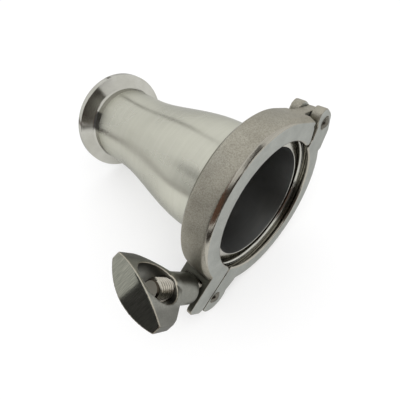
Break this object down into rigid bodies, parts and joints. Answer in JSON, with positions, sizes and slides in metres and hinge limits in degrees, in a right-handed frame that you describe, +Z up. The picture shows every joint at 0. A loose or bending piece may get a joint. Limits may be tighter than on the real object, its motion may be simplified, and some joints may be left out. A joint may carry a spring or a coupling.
{
  "type": "clamped concentric reducer",
  "caption": "Stainless concentric pipe reducer with clamp ferrules at both ends and a hinged swing-bolt clamp closed on the large ferrule.",
  "frame": {"origin": "the middle of the large ferrule's face, on the tube axis", "axes": "+Z up from the table it lies on; +X along the tube from the large end to the small end, seen from above (the tube itself runs down to the small end by 6.8 degrees); +Y on the side of the swing bolt"},
  "size_m": [0.1096, 0.1012, 0.0721],
  "materials": {
    "small_ferrule": "polished stainless steel",
    "reducer_body": "stainless steel brushed around the tube",
    "large_ferrule": "polished stainless steel",
    "clamp_half_a": "cast stainless steel, blasted outside and ground on the sides",
    "clamp_half_b": "cast stainless steel, blasted outside and ground on the sides",
    "hinge_pin": "turned stainless steel",
    "bolt_pin": "turned stainless steel",
    "swing_bolt": "turned stainless steel",
    "wing_nut": "cast stainless steel with a ground top"
  },
  "bodies": {
    "reducer": {"small_ferrule": "small_ferrule", "reducer_body": "reducer_body", "large_ferrule": "large_ferrule", "clamp_half_a": "clamp_half_a", "hinge_pin": "hinge_pin"},
    "half_b": {"clamp_half_b": "clamp_half_b", "bolt_pin": "bolt_pin"},
    "bolt": {"swing_bolt": "swing_bolt"},
    "nut": {"wing_nut": "wing_nut"}
  },
  "joints": [
    {"name": "clamp_hinge", "type": "hinge", "parent": "reducer", "child": "half_b", "pos_m": [0.00484, -0.03211, 0.0221], "axis": [-0.993, 0, 0.1177], "range_deg": [0, 9.5]},
    {"name": "bolt_swing", "type": "hinge", "parent": "half_b", "child": "bolt", "pos_m": [-0.00116, 0.03144, -0.02846], "axis": [-0.993, 0, 0.1177], "range_deg": [0, 110]},
    {"name": "nut_travel", "type": "slide", "parent": "bolt", "child": "nut", "axis": [0.0941, 0.601, 0.7937], "range_m": [0, 0.0145]}
  ],
  "couplings": [
    {"joint": "nut_travel", "follows": "clamp_hinge", "m_per_rad": 0.085}
  ]
}
